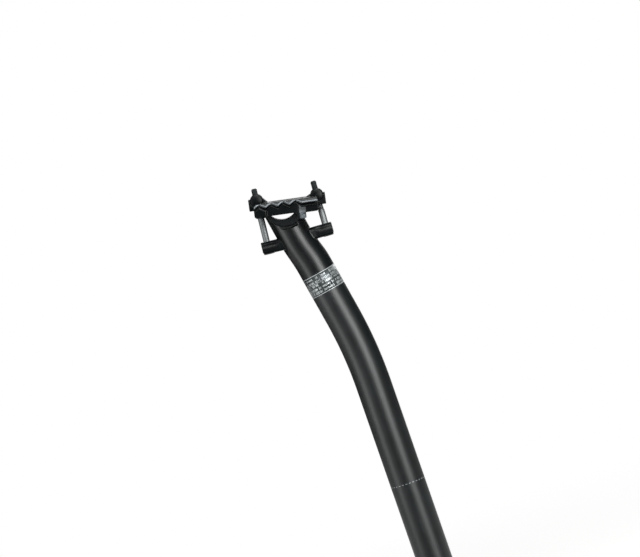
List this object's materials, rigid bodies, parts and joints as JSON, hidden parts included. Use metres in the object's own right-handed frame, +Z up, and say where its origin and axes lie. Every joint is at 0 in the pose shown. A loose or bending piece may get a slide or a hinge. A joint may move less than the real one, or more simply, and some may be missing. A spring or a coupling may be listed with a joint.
{
  "type": "setback seatpost",
  "caption": "Black seatpost, its round tube bent rearwards, with a cradle and toothed rail clamp held by two bolts that set the saddle's tilt.",
  "frame": {"origin": "on the tube's axis at the bottom end of the post", "axes": "+Z up along the straight lower tube, +X forward, +Y to the left; the saddle clamp lies up and behind"},
  "size_m": [0.0605, 0.055, 0.3692],
  "materials": {
    "black_alloy": "satin black anodised forging",
    "black_alloy_clamp": "satin black anodised forging with bare bevels",
    "bolt_steel": "zinc plated steel",
    "black_steel": "black oxide steel"
  },
  "bodies": {
    "post": {"post": "black_alloy"},
    "lower_cradle": {"lower_cradle": "black_alloy_clamp"},
    "upper_clamp": {"upper_clamp": "black_alloy_clamp"},
    "front_bolt": {"front_bolt": "bolt_steel"},
    "rear_bolt": {"rear_bolt": "bolt_steel"},
    "front_barrel_nut": {"front_barrel_nut": "black_steel"},
    "rear_barrel_nut": {"rear_barrel_nut": "black_steel"},
    "front_barrel_washer": {"front_barrel_washer": "black_steel"},
    "rear_barrel_washer": {"rear_barrel_washer": "black_steel"}
  },
  "joints": [
    {"name": "cradle_tilt", "type": "hinge", "parent": "post", "child": "lower_cradle", "pos_m": [-0.02012, 0, 0.34911], "axis": [0, 1, 0], "range_deg": [-6, 6]},
    {"name": "clamp_lift", "type": "slide", "parent": "lower_cradle", "child": "upper_clamp", "axis": [0.0734, 0, 0.9973], "range_m": [0, 0.002]},
    {"name": "front_washer_rock", "type": "hinge", "parent": "post", "child": "front_barrel_washer", "pos_m": [0.00488, 0, 0.31941], "axis": [0, 1, 0], "range_deg": [-0.34, 0.34]},
    {"name": "front_nut_rock", "type": "hinge", "parent": "upper_clamp", "child": "front_barrel_nut", "pos_m": [0.00648, 0, 0.34912], "axis": [0, 1, 0], "range_deg": [-5.76, 5.76]},
    {"name": "front_bolt_turn", "type": "hinge", "parent": "front_barrel_washer", "child": "front_bolt", "pos_m": [0.00488, 0, 0.31941], "axis": [-0.0539, 0, -0.9985], "range_deg": [0, 900]},
    {"name": "rear_washer_rock", "type": "hinge", "parent": "post", "child": "rear_barrel_washer", "pos_m": [-0.04212, 0, 0.32091], "axis": [0, 1, 0], "range_deg": [-1.43, 1.43]},
    {"name": "rear_nut_rock", "type": "hinge", "parent": "upper_clamp", "child": "rear_barrel_nut", "pos_m": [-0.03849, 0, 0.35987], "axis": [0, 1, 0], "range_deg": [-4.67, 4.67]},
    {"name": "rear_bolt_turn", "type": "hinge", "parent": "rear_barrel_washer", "child": "rear_bolt", "pos_m": [-0.04212, 0, 0.32091], "axis": [-0.0929, 0, -0.9957], "range_deg": [0, 900]}
  ],
  "couplings": [
    {"joint": "front_washer_rock", "follows": "cradle_tilt", "ratio": 0.04838},
    {"joint": "front_nut_rock", "follows": "cradle_tilt", "ratio": -0.95162},
    {"joint": "front_bolt_turn", "follows": "clamp_lift", "rad_per_m": 7854},
    {"joint": "rear_washer_rock", "follows": "cradle_tilt", "ratio": 0.23011},
    {"joint": "rear_nut_rock", "follows": "cradle_tilt", "ratio": -0.76989},
    {"joint": "rear_bolt_turn", "follows": "clamp_lift", "rad_per_m": 7854}
  ]
}
